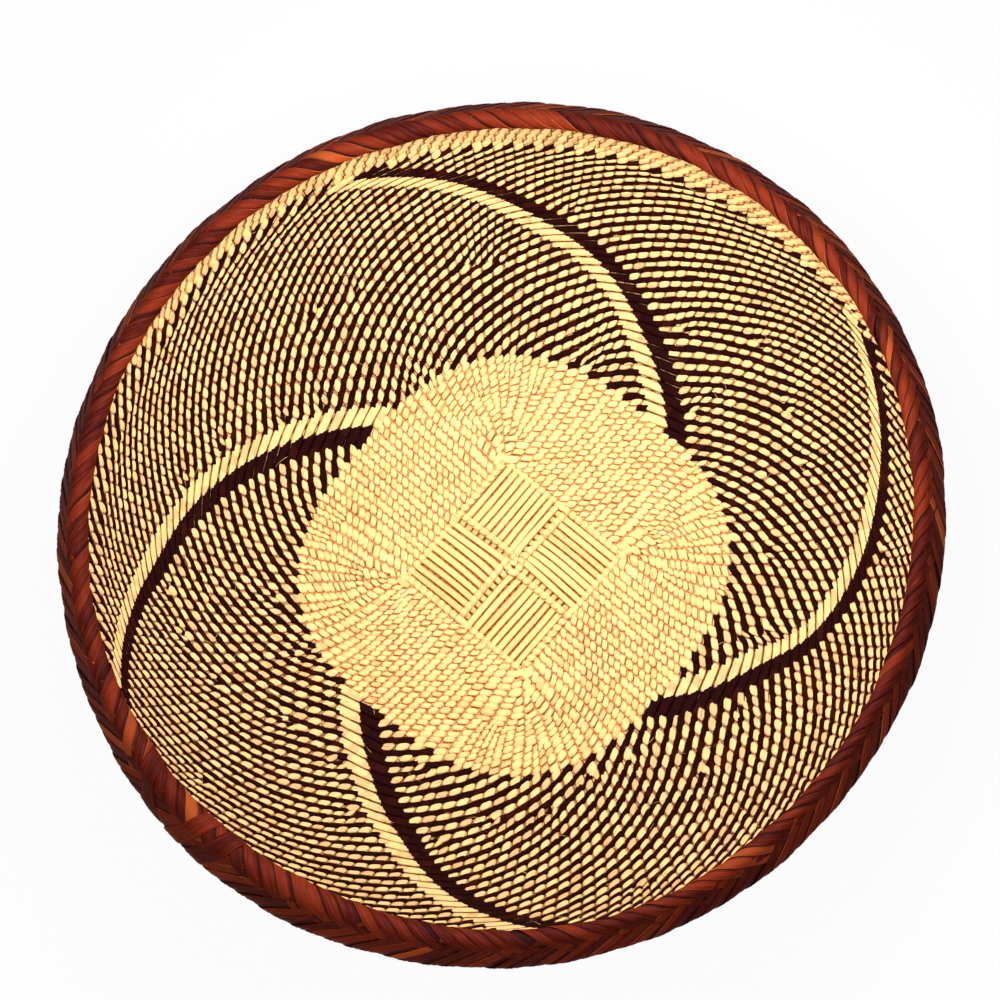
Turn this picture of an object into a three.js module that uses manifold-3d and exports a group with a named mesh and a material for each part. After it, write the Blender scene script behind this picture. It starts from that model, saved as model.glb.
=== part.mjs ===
// A shallow twined bowl: crossed stakes, a twined weft in three zones and a plaited rim.
// Millimetres, +Z up, the origin on the surface that the bowl rests on, under its middle.
import * as THREE from 'three';
import { mergeVertices } from 'three/addons/utils/BufferGeometryUtils.js';
import Module from 'manifold-3d';

const wasm = await Module();
wasm.setup();

// The bowl's form, measured in the middle of its wall
const baseFlatRadius = 80;
const wallTopRadius = 181.5;
const wallTopSlope = 66;
const wallTopReach = 1;

// Stakes: the long ones cross in the middle, and short ones fill the four corners
const stakeWidth = 2.4;
const stakeThickness = 1.2;
const stakePitch = 3.3;
const stakesPerBundle = 9;
const bundleGap = 2;
const stepLength = 2;
const crossingTurn = -39;
const sideFan = 48;
const cornerStakesPerCorner = 3;
const cornerStart = 50;
const cornerStagger = 18;

// Weft: a layer of turns on each face of the stakes, in zones from the middle to the rim
const weftThickness = 1.4;
const layerGap = 0.3;
const naturalZoneLength = 90;
const borderLength = 8;
const lowerWallShare = 0.5;
const wallCourses = 5;
const courseRelief = 0.8;
const courseMiddleShare = 0.5;

// Rim: a hoop on each side of the wall's top, under a plaited cover
const hoopDiameter = 5.2;
const plaitThickness = 1.4;
const rimLean = 52;

// Fineness of the round shapes
const turnsOfRing = 48;
const hoopSides = 6;
const plaitArcSteps = 4;
const courseStepsPerStretch = 5;

// Sizes that follow from those above
const radians = THREE.MathUtils.degToRad;
const bendRadius = (wallTopRadius - baseFlatRadius) / Math.sin(radians(wallTopSlope));
const wallTopLength = baseFlatRadius + bendRadius * radians(wallTopSlope);
const wallEndLength = wallTopLength + wallTopReach;
const borderStart = wallTopLength - borderLength;
const stripedStart = naturalZoneLength;
const lowerWallEnd = THREE.MathUtils.lerp(stripedStart, borderStart, lowerWallShare);
const stakeHalf = stakeThickness / 2;
const weftNear = stakeHalf + layerGap;
const weftFar = weftNear + weftThickness;
const middleHeight = weftFar;
const crossingLevel = (stakeThickness + layerGap) / 2;
const blockEdge = bundleGap / 2 + stakesPerBundle * stakePitch;
const windowHalf = blockEdge + stepLength + layerGap;
const stakesPerSide = 2 * stakesPerBundle;

const natural = new THREE.MeshStandardMaterial({ color: 0xead9a0, roughness: 0.7, metalness: 0 });
const striped = new THREE.MeshStandardMaterial({ color: 0x8a7350, roughness: 0.7, metalness: 0 });
const splint = new THREE.MeshStandardMaterial({ color: 0xd9c07c, roughness: 0.65, metalness: 0 });
const hoopWood = new THREE.MeshStandardMaterial({ color: 0x9c6a3c, roughness: 0.7, metalness: 0 });
const bark = new THREE.MeshStandardMaterial({ color: 0x6e2314, roughness: 0.5, metalness: 0 });

// A place in the wall's section: length is measured along its middle from the bowl's centre,
// and depth square to it, positive on the inside face
function sectionPoint(length, depth) {
  const bend = Math.max(length - baseFlatRadius, 0) / bendRadius;
  const reach = bendRadius - depth;
  const radius = length <= baseFlatRadius ? length : baseFlatRadius + reach * Math.sin(bend);
  const height = middleHeight + bendRadius - reach * Math.cos(bend);
  return new THREE.Vector2(radius, height);
}

// Shared corners are merged, triangles without area dropped, and the faces turned outwards
function closeSolid(geometry) {
  geometry.deleteAttribute('normal');
  geometry.deleteAttribute('uv');
  const merged = mergeVertices(geometry);
  const place = merged.attributes.position;
  const corners = [];
  let volume = 0;
  for (let i = 0; i < merged.index.count; i += 3) {
    const triangle = [0, 1, 2].map((k) => merged.index.getX(i + k));
    if (new Set(triangle).size < 3) continue;
    corners.push(...triangle);
    const [a, b, c] = triangle.map((k) => new THREE.Vector3().fromBufferAttribute(place, k));
    volume += a.dot(b.cross(c));
  }
  if (volume < 0) corners.reverse();
  merged.setIndex(corners);
  return merged;
}

function toManifold(geometry) {
  const vertProperties = geometry.attributes.position.array;
  const triVerts = new Uint32Array(geometry.index.array);
  return new wasm.Manifold(new wasm.Mesh({ numProp: 3, vertProperties, triVerts }));
}

function cutAway(geometry, ...tools) {
  let solid = toManifold(geometry);
  for (const tool of tools) solid = solid.subtract(toManifold(tool));
  const mesh = solid.getMesh();
  const result = new THREE.BufferGeometry();
  result.setAttribute('position', new THREE.BufferAttribute(mesh.vertProperties, 3));
  result.setIndex(new THREE.BufferAttribute(mesh.triVerts, 1));
  return result;
}

// A closed section of (radius, height) points turned round the bowl's axis
function ring(points) {
  const lathe = new THREE.LatheGeometry([...points, points[0]], turnsOfRing);
  return closeSolid(lathe.rotateX(Math.PI / 2));
}

// The lengths at which the bent wall is broken into straight stretches
function stationsBetween(start, end, steps) {
  return Array.from({ length: steps + 1 }, (_, i) => THREE.MathUtils.lerp(start, end, i / steps));
}
const baseStations = [0, baseFlatRadius, stripedStart];
const lowerStations = stationsBetween(stripedStart, lowerWallEnd, 2);
const upperStations = stationsBetween(lowerWallEnd, borderStart, 2);
const borderStations = [borderStart, wallEndLength];

// A layer of the wall between two depths
function layerOf(stations, depthA, depthB) {
  const there = stations.map((length) => sectionPoint(length, depthA));
  const back = stations.map((length) => sectionPoint(length, depthB));
  return ring([...there, ...back.reverse()]);
}

// How far the far face of the wall's weft stands out from its middle depth: the twined rows
// show as a few rounded courses with a groove between each and the next
function courseSwell(length) {
  const course = wallCourses * (length - stripedStart) / (borderStart - stripedStart);
  return courseRelief * (Math.abs(Math.sin(Math.PI * course)) - courseMiddleShare);
}

// A layer of the wall's weft, plain on the stakes and in courses on its other face, which keeps
// to the same straight stretches
function coursedLayer(stations, nearDepth, farDepth) {
  const near = stations.map((length) => sectionPoint(length, nearDepth));
  const farPlace = (i, share) => {
    const next = Math.min(i + 1, stations.length - 1);
    const length = THREE.MathUtils.lerp(stations[i], stations[next], share);
    const depth = farDepth + Math.sign(farDepth) * courseSwell(length);
    return sectionPoint(stations[i], depth).lerp(sectionPoint(stations[next], depth), share);
  };
  const far = [];
  for (let i = 0; i + 1 < stations.length; i += 1) {
    for (let k = 0; k < courseStepsPerStretch; k += 1) far.push(farPlace(i, k / courseStepsPerStretch));
  }
  far.push(farPlace(stations.length - 1, 0));
  return ring([...near, ...far.reverse()]);
}

// The ring is a many-sided one, so a place on it lies a little nearer to the axis between corners
function ringShrink(azimuth) {
  const side = (2 * Math.PI) / turnsOfRing;
  const fromMiddle = THREE.MathUtils.euclideanModulo(azimuth, side) - side / 2;
  return Math.cos(side / 2) / Math.cos(fromMiddle);
}

// The four corners of a stake's section in the flat middle of the bowl
function flatCorners(x, y, across, level) {
  return [[-1, -1], [1, -1], [1, 1], [-1, 1]].map(([side, face]) => new THREE.Vector3(
    x + across.x * side * stakeWidth / 2,
    y + across.y * side * stakeWidth / 2,
    middleHeight + level + face * stakeHalf,
  ));
}

// The same four corners where the stake runs straight up the wall
function wallCorners(length, azimuth) {
  return [[-1, -1], [1, -1], [1, 1], [-1, 1]].map(([side, face]) => {
    const turn = azimuth + side * Math.asin(stakeWidth / 2 / sectionPoint(length, 0).x);
    const place = sectionPoint(length, face * stakeHalf);
    const radius = place.x * ringShrink(turn);
    return new THREE.Vector3(radius * Math.cos(turn), radius * Math.sin(turn), place.y);
  });
}

// A strip through a row of four-cornered sections, closed at both ends
function strip(sections) {
  const corners = [];
  const quad = (a, b, c, d) => corners.push(a, b, c, a, c, d);
  for (let i = 0; i + 1 < sections.length; i += 1) {
    const [here, next] = [sections[i], sections[i + 1]];
    for (let k = 0; k < here.length; k += 1) {
      const m = (k + 1) % here.length;
      quad(here[k], here[m], next[m], next[k]);
    }
  }
  const [first, last] = [sections[0], sections[sections.length - 1]];
  quad(first[3], first[2], first[1], first[0]);
  quad(last[0], last[1], last[2], last[3]);
  return closeSolid(new THREE.BufferGeometry().setFromPoints(corners));
}

const wallLengths = [
  baseFlatRadius, stripedStart, ...lowerStations.slice(1), ...upperStations.slice(1), wallEndLength,
];

// Half of a long stake, from the middle of the crossing to the rim. It lies over or under the
// bundle that it crosses, and then fans out to its place in the wall
function halfStake(turn, number, over) {
  const side = Math.sign(number);
  const offset = side * (bundleGap / 2) + number * stakePitch;
  const level = over ? crossingLevel : -crossingLevel;
  const across = new THREE.Vector2(-Math.sin(turn), Math.cos(turn));
  const at = (reach, height) => flatCorners(
    reach * Math.cos(turn) + offset * across.x,
    reach * Math.sin(turn) + offset * across.y,
    across,
    height,
  );
  const azimuth = turn + radians(number * sideFan / stakesPerSide);
  return [
    at(bundleGap / 2, level),
    at(blockEdge, level),
    at(blockEdge + stepLength, 0),
    ...wallLengths.map((length) => wallCorners(length, azimuth)),
  ];
}

// The same section with its two sides swapped, for a strip that runs back towards the middle
const swapped = ([a, b, c, d]) => [b, a, d, c];

// A long stake runs from rim to rim through the crossing
function longStake(turn, number) {
  const over = number > 0;
  const ahead = halfStake(turn, number, over);
  const behind = halfStake(turn + Math.PI, -number, !over);
  return strip([...behind.reverse().map(swapped), ...ahead]);
}

// A corner stake is doubled over, and its two legs part where the gap between the sides widens
function cornerStake(turn, number) {
  const spread = radians(90 - sideFan) / (2 * cornerStakesPerCorner);
  const fromMiddle = number - (cornerStakesPerCorner - 1) / 2;
  const fold = turn + 2 * fromMiddle * spread;
  const out = new THREE.Vector2(Math.cos(fold), Math.sin(fold));
  const across = new THREE.Vector2(-out.y, out.x);
  const foldRadius = cornerStart + cornerStagger * Math.abs(fromMiddle);
  const at = (radius, aside, widthAlong) => flatCorners(
    out.x * radius + across.x * aside,
    out.y * radius + across.y * aside,
    widthAlong,
    0,
  );
  const leg = (side) => wallLengths.map((length) => wallCorners(length, fold + side * spread / 2));
  return strip([
    ...leg(-1).reverse(),
    at(foldRadius + stakeWidth, -stakeWidth, across),
    at(foldRadius, 0, out),
    swapped(at(foldRadius + stakeWidth, stakeWidth, across)),
    ...leg(1).map(swapped),
  ]);
}

// The window in the base weft that leaves the crossing bare
function crossingWindow() {
  const block = new THREE.BoxGeometry(2 * windowHalf, 2 * windowHalf, 4 * middleHeight);
  return closeSolid(block.translate(0, 0, middleHeight).rotateZ(radians(crossingTurn)));
}

// The rim's section: a hoop on each face of the wall's top, inside a plait that leans outwards
const rimMiddle = sectionPoint(wallTopLength, 0);
const rimDown = new THREE.Vector2(Math.cos(radians(rimLean)), -Math.sin(radians(rimLean)));
const hoopRadius = hoopDiameter / 2;
const hoopOffset = (hoopRadius + layerGap + weftFar) / Math.sin(radians(wallTopSlope + rimLean));
const hoopMiddle = (side) => rimMiddle.clone().addScaledVector(rimDown, side * hoopOffset);

function hoop(side) {
  const points = Array.from({ length: hoopSides }, (_, i) => {
    const turn = (2 * Math.PI * i) / hoopSides;
    const spoke = new THREE.Vector2(Math.cos(turn), Math.sin(turn));
    return hoopMiddle(side).addScaledVector(spoke, hoopRadius);
  });
  return ring(points);
}

// An outline round both hoops at one distance from their middles
function roundBothHoops(distance) {
  const step = Math.PI / plaitArcSteps;
  const points = [];
  for (const side of [1, -1]) {
    for (let i = 0; i <= plaitArcSteps; i += 1) {
      const spoke = rimDown.clone().rotateAround(new THREE.Vector2(), i * step - Math.PI / 2);
      const reach = side * distance / Math.cos(step / 2);
      points.push(hoopMiddle(side).addScaledVector(spoke, reach));
    }
  }
  return ring(points);
}

function plait() {
  const hollow = hoopRadius + layerGap;
  const slotStations = [...upperStations.slice(-2), wallEndLength];
  const slot = layerOf(slotStations, -weftFar - layerGap, weftFar + layerGap);
  return cutAway(roundBothHoops(hollow + plaitThickness), roundBothHoops(hollow), slot);
}

const bowl = new THREE.Group();

function add(name, geometry, material) {
  const mesh = new THREE.Mesh(geometry, material);
  mesh.name = name;
  bowl.add(mesh);
}

// Long stakes: eighteen each way, in two bundles that go over and under in turn
[['across', 0], ['along', 90]].forEach(([way, turn]) => {
  for (let i = 0; i < stakesPerSide; i += 1) {
    const number = i - (stakesPerSide - 1) / 2;
    const name = `stake_${way}_${String(i + 1).padStart(2, '0')}`;
    add(name, longStake(radians(crossingTurn + turn), number), splint);
  }
});

// Corner stakes, pushed in where the sides of the crossing part
['right', 'back', 'left', 'front'].forEach((corner, quarter) => {
  for (let i = 0; i < cornerStakesPerCorner; i += 1) {
    const turn = radians(crossingTurn + 45 + 90 * quarter);
    add(`corner_stake_${corner}_${i + 1}`, cornerStake(turn, i), splint);
  }
});

// Weft: the turns that lie inside the stakes, and those that lie outside them
const insideOf = (stations) => layerOf(stations, weftNear, weftFar);
const outsideOf = (stations) => layerOf(stations, -weftFar, -weftNear);
add('base_weft_inside', cutAway(insideOf(baseStations), crossingWindow()), natural);
add('base_weft_outside', cutAway(outsideOf(baseStations), crossingWindow()), natural);
add('lower_wall_weft_inside', coursedLayer(lowerStations, weftNear, weftFar), striped);
add('lower_wall_weft_outside', coursedLayer(lowerStations, -weftNear, -weftFar), striped);
add('upper_wall_weft_inside', coursedLayer(upperStations, weftNear, weftFar), striped);
add('upper_wall_weft_outside', coursedLayer(upperStations, -weftNear, -weftFar), striped);
add('border_weft_inside', insideOf(borderStations), natural);
add('border_weft_outside', outsideOf(borderStations), natural);

// Rim
add('inner_hoop', hoop(-1), hoopWood);
add('outer_hoop', hoop(1), hoopWood);
add('rim_plait', plait(), bark);

export default bowl;
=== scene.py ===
"""A woven basket bowl: the twined weave, the crossed splints and their seams, and the plaited rim."""

import math

import bpy
import numpy as np
from mathutils import Matrix, Vector


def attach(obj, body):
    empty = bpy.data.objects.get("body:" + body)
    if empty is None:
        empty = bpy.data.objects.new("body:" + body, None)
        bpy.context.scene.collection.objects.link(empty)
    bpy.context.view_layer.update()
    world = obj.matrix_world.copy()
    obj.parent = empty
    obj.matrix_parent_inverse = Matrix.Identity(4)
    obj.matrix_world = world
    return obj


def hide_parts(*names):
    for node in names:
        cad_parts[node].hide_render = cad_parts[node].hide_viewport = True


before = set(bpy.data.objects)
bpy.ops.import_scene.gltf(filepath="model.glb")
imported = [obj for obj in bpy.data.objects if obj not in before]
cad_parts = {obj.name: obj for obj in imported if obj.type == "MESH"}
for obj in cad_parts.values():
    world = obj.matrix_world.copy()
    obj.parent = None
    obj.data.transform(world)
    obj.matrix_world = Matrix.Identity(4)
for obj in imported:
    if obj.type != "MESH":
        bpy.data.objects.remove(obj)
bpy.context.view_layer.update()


# Camera. It looks down into the bowl from a little in front of it, as the photograph does,
# from far enough away for the rim to show as a nearly true ellipse.
IMAGE_WIDTH = 1000
FOCAL_PIXELS = 5907.7
SENSOR_WIDTH = 36.0
CAMERA_DISTANCE = 2.5
CAMERA_TILT = math.radians(16.768)
CAMERA_SIDE = math.radians(64.596)
CAMERA_AIM = Vector((0.00101, 0.0103, 0.066))

scene = bpy.context.scene


def added(name, data):
    """A new object of the scene, with the given data."""
    made = bpy.data.objects.new(name, data)
    scene.collection.objects.link(made)
    return made


camera_data = bpy.data.cameras.new("camera")
camera_data.sensor_width = SENSOR_WIDTH
camera_data.lens = FOCAL_PIXELS * SENSOR_WIDTH / IMAGE_WIDTH
camera = added("camera", camera_data)
back = Vector((
    math.cos(CAMERA_SIDE) * math.sin(CAMERA_TILT),
    -math.sin(CAMERA_SIDE) * math.sin(CAMERA_TILT),
    math.cos(CAMERA_TILT),
))
right = Vector((1, 0, 0)) - back * back.x
right.normalize()
upward = back.cross(right)
turned = Matrix((right, upward, back)).transposed().to_4x4()
camera.matrix_world = Matrix.Translation(CAMERA_AIM + CAMERA_DISTANCE * back) @ turned
scene.camera = camera
scene.view_settings.view_transform = "Standard"


# Studio. A pale floor that the camera sees as white, a wide soft lamp above the near left,
# a weak one low over the bowl's far half, and an even pale sky.
FLOOR_SIZE = 8.0
FLOOR_ROUGHNESS = 0.9
GLOW_SHARE = 0.95
GLOW_START = 0.181
GLOW_FULL = 0.189
GLOW_MIDDLE = (-0.008, 0.016, 0)
WHITE = (1, 1, 1, 1)


class Wire:
    """One socket of a node tree, or with no socket the tree itself, from which any node is made.

    Sums and products written with wires add the Math nodes that work them out."""

    def __init__(self, tree, socket=None):
        self.tree = tree
        self.socket = socket

    def node(self, kind, settings=None, inputs=None, output=0):
        """Adds a node, sets its settings and then its sockets, and gives the wire of one output."""
        made = self.tree.nodes.new(kind)
        for name, value in (settings or {}).items():
            setattr(made, name, value)
        for name, value in (inputs or {}).items():
            if isinstance(value, Wire):
                value.into(made, name)
            else:
                made.inputs[name].default_value = value
        return Wire(self.tree, made.outputs[output])

    def into(self, node, name):
        """Links the wire to a socket of a node."""
        self.tree.links.new(self.socket, node.inputs[name])

    def maths(self, operation, first, second):
        return self.node("ShaderNodeMath", {"operation": operation}, {0: first, 1: second})

    def __add__(self, other):
        return self.maths("ADD", self, other)

    def __radd__(self, other):
        return self.maths("ADD", other, self)

    def __mul__(self, other):
        return self.maths("MULTIPLY", self, other)

    def __rmul__(self, other):
        return self.maths("MULTIPLY", other, self)

    def between(self, low, high, start=0.0, end=1.0):
        """Start at low and end at high, with a smooth step from one to the other."""
        sockets = {0: self, 1: low, 2: high, 3: start, 4: end}
        return self.node("ShaderNodeMapRange", {"interpolation_type": "SMOOTHSTEP"}, sockets)


def finish_of(name, roughness):
    """A new material, as a wire with no socket, and its shader node."""
    material = bpy.data.materials.new(name)
    material.use_nodes = True
    shader = material.node_tree.nodes["Principled BSDF"]
    shader.inputs["Roughness"].default_value = roughness
    return material, Wire(material.node_tree), shader


def shown(*colour):
    """The scene-linear value of an opaque colour given as screen values from 0 to 255."""
    return (*(((part / 255 + 0.055) / 1.055) ** 2.4 for part in colour), 1.0)


def seen_by(tree, kind, *others):
    """1 for rays of the given kinds and 0 for the rest, as the greatest of their values."""
    ray = tree.node("ShaderNodeLightPath", output=f"Is {kind} Ray")
    return tree.maths("MAXIMUM", ray, seen_by(tree, *others)) if others else ray


def floor_sheet():
    """One square at height zero."""
    half = FLOOR_SIZE / 2
    corners = [(-half, -half, 0), (half, -half, 0), (half, half, 0), (-half, half, 0)]
    sheet = bpy.data.meshes.new("floor")
    sheet.from_pydata(corners, [], [(0, 1, 2, 3)])
    material, tree, shader = finish_of("pale_floor", FLOOR_ROUGHNESS)
    shader.inputs["Base Color"].default_value = shown(235, 234, 232)
    place = tree.node("ShaderNodeTexCoord", output="Object")
    away = tree.node("ShaderNodeVectorMath", {"operation": "DISTANCE"}, {0: place, 1: GLOW_MIDDLE}, "Value")
    seen = seen_by(tree, "Camera", "Glossy", "Transmission")
    glow = tree.node("ShaderNodeEmission", inputs={"Color": WHITE, "Strength": 1.0})
    share = seen * away.between(GLOW_START, GLOW_FULL, 0.0, GLOW_SHARE)
    both = tree.node("ShaderNodeMixShader", inputs={0: share, 1: Wire(tree.tree, shader.outputs[0]), 2: glow})
    both.into(tree.tree.nodes["Material Output"], 0)
    sheet.materials.append(material)
    added("floor", sheet)


def lamp(name, place, size, watts, colour):
    """A square area lamp that points at the bowl's middle."""
    light = bpy.data.lights.new(name, "AREA")
    light.size = size
    light.energy = watts
    light.color = colour
    made = added(name, light)
    made.location = place
    made.rotation_mode = "QUATERNION"
    made.rotation_quaternion = (Vector(place) - CAMERA_AIM).to_track_quat("Z", "Y")
    made.visible_camera = False


def sky(strength):
    """An even world light, which the camera and mirrors see as white."""
    world = bpy.data.worlds.new("sky")
    scene.world = world
    world.use_nodes = True
    tree = Wire(world.node_tree)
    light = world.node_tree.nodes["Background"]
    light.inputs["Strength"].default_value = strength
    light.inputs["Color"].default_value = (1, 0.985, 0.96, 1)
    seen = seen_by(tree, "Camera", "Glossy")
    white = tree.node("ShaderNodeBackground", inputs={"Color": WHITE, "Strength": 1.0})
    both = tree.node("ShaderNodeMixShader", inputs={0: seen, 1: Wire(tree.tree, light.outputs[0]), 2: white})
    both.into(world.node_tree.nodes["World Output"], 0)


floor_sheet()
lamp("key_lamp", (-0.25, -1.0, 1.75), 0.6, 9.8, (1.0, 0.96, 0.9))
lamp("far_lamp", (0.03, 0.075, 0.32), 0.25, 1.9, (0.96, 1.0, 1.1))
sky(0.215)


# The twined weave, of strands of split palm leaf, undyed in the base and pale and dark by turns in
# the wall. At each splint one strand of a pair passes in front and one behind, and they change places
# between splints with a half turn. In the four arms a strand stays in front of three splints.

# The middle surface that all follow: a flat base and a wall that curves up, in millimetres.
MILLIMETRE = 0.001
BASE_RADIUS = 80.0
WALL_TOP_RADIUS = 181.5
WALL_TOP_SLOPE = math.radians(66.0)
BEND_RADIUS = (WALL_TOP_RADIUS - BASE_RADIUS) / math.sin(WALL_TOP_SLOPE)
MIDDLE_HEIGHT = 2.3
SQUARE_TURN = math.radians(39.0)
MIDDLE_SHIFT = np.array([-0.3, -1.9])
SHIFT_START = 50.0
SHIFT_END = 195.0


def eased(value, low, high):
    """A smooth step from 0 at low to 1 at high: three squares less two cubes of the share between them."""
    share = np.clip((value - low) / (high - low), 0, 1)
    return share * share * (3 - 2 * share)


def round_point(radius, turn, height):
    """The point at a radius, a turn clockwise seen from above from +X, and a height."""
    return np.stack([radius * np.cos(turn), -radius * np.sin(turn), height], -1)


def on_bowl(length, turn, depth):
    """Points on or beside the middle surface, and its inward normal.

    Length is measured along the surface from the middle, and depth along the normal towards the
    inside. Beyond the flat base the bend is the length past it over the bend's radius. The weave's
    middle lies a little off the rim's, fading upwards."""
    fade = 1 - eased(length, SHIFT_START, SHIFT_END)
    outward = np.stack([np.cos(turn), -np.sin(turn)], -1)
    clockwise = np.stack([-np.sin(turn), -np.cos(turn)], -1)
    turn = turn + fade * (clockwise @ MIDDLE_SHIFT) / np.maximum(length, BASE_RADIUS / 2)
    length = length + fade * (outward @ MIDDLE_SHIFT)
    bend = np.maximum(length - BASE_RADIUS, 0) / BEND_RADIUS
    radius = np.minimum(length, BASE_RADIUS) + (BEND_RADIUS - depth) * np.sin(bend)
    height = MIDDLE_HEIGHT + BEND_RADIUS - (BEND_RADIUS - depth) * np.cos(bend)
    return round_point(radius, turn, height), round_point(-np.sin(bend), turn, np.cos(bend))


# The rows, and the splints in them, which are added in pairs so that the stitches still alternate.
SIDE_SPLINTS = 18
SPLINT_PITCH = 3.42
BUNDLE_GAP = 1.4
WINDOW_HALF = 35.0
BASE_EDGE = 87.05
WEAVE_TOP = 204.0
BASE_ROWS = 15
WALL_ROWS = 44
BORDER_ROWS = 5
BORDER_ROW_STAGES = [(188, 0), (212, 3.2), (248, 4.1), (270, 4.3), (305, 5), (325, 4.5), (344, 0)]
SQUARENESS_START = 14.0
SQUARENESS_EDGE = 2.64
FIRST_WALL_PITCH_SHARE = 1.36
BORDER_PITCH = 3.0
NEAR_TURN = math.radians(63)
NEAR_POWER = 3.0
NEAR_GAP_SHARE = 0.15
NEAR_OPENING = 0.08
NEAR_OPENING_GROWTH = 0.4
WALL_LEAN = math.radians(4.5)
WALL_LEAN_POWER = 2.5
LEAN_VARIATION = 0.4
LEAST_LEAN_TURN = math.radians(325)
FLOAT_SPLINTS = 3
ARMS = [(40.0, 1), (317.3, 1), (134.0, -1), (226.7, -1)]
ARM_GAP_SHARE = 0.35
HAND_SHIFTS = [(40, 0), (134, 2.6), (228, 0), (317, 0)]
HAND_SHIFT_ROWS = 10
STITCH_PITCH_STAGES = [(0, 3.75), (15, 4.05), (25, 4.4), (34, 4.5), (45, 4.85), (59, 5.4)]
TURN_STEPS = 1440
GAP_CHANCE = 0.25
EVENING_SHARE = 0.22
BASE_EVENINGS = 1
WALL_EVENINGS = 3
dice = np.random.default_rng(755)


def row_places():
    """Each row's reach along the square's sides, its squareness, its pitch and its opening at the near side.

    Base rows are evenly spaced. Wall rows close up steadily from the first pitch to the last, and the
    border's are wider. The opening, a line and a square of the share of the rows, keeps up the pitch at
    the near side, where the last rows lie past the rim. Squareness is the exponent of a superellipse and
    falls to 2, a circle, at the rim."""
    base_pitch = (BASE_EDGE - WINDOW_HALF) / BASE_ROWS
    places = np.arange(BASE_ROWS) + 0.5
    base = WINDOW_HALF + base_pitch * places
    pitches = np.linspace(FIRST_WALL_PITCH_SHARE, 2 - FIRST_WALL_PITCH_SHARE, WALL_ROWS - BORDER_ROWS)
    pitches *= (WEAVE_TOP - BASE_EDGE - BORDER_ROWS * BORDER_PITCH) / pitches.sum()
    pitches = np.append(pitches, np.full(BORDER_ROWS, BORDER_PITCH))
    wall = BASE_EDGE + np.cumsum(pitches) - pitches / 2
    early = 1 - places / BASE_ROWS
    late = 1 - (wall - BASE_EDGE) / (WEAVE_TOP - BASE_EDGE)
    squareness = np.concatenate([
        SQUARENESS_EDGE + (SQUARENESS_START - SQUARENESS_EDGE) * early ** 3,
        2 + (SQUARENESS_EDGE - 2) * late ** 3,
    ])
    pitch = np.concatenate([np.full(BASE_ROWS, base_pitch), pitches])
    share = (np.arange(WALL_ROWS) + 0.5) / WALL_ROWS
    opening = NEAR_OPENING * share + NEAR_OPENING_GROWTH * share ** 2
    opening = np.concatenate([np.zeros(BASE_ROWS), (WEAVE_TOP - BASE_EDGE) * opening])
    return np.concatenate([base, wall]), squareness, pitch, opening


ROW_REACH, ROW_SQUARENESS, ROW_PITCH, ROW_OPENING = row_places()
ROWS = BASE_ROWS + WALL_ROWS


def row_length(row, turn):
    """How far out the row lies at a turn: its reach over the superellipse's norm, plus its opening."""
    power = ROW_SQUARENESS[row]
    across = np.abs(np.cos(turn - SQUARE_TURN)) ** power
    along = np.abs(np.sin(turn - SQUARE_TURN)) ** power
    return ROW_REACH[row] / (across + along) ** (1 / power) + ROW_OPENING[row] * nearness(turn)


def nearness(turn):
    """From 1 at the near side to 0 at the far side, as a power of a raised cosine."""
    return (0.5 + 0.5 * np.cos(turn - NEAR_TURN)) ** NEAR_POWER


def border_share(row, turn):
    """From 0 where the undyed border starts to 1 a row further in it, and below 0 outside.

    The border is widest at the far right and absent nearby."""
    return np.minimum(row - ROWS + np.interp(np.degrees(turn) % 360, *zip(*BORDER_ROW_STAGES)), 1)


def side_places():
    """Where the splints of one side of the crossing stand, in two bundles about its middle."""
    half = BUNDLE_GAP / 2 + SPLINT_PITCH * (np.arange(SIDE_SPLINTS // 2) + 0.5)
    return np.concatenate([-half[::-1], half])


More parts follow.
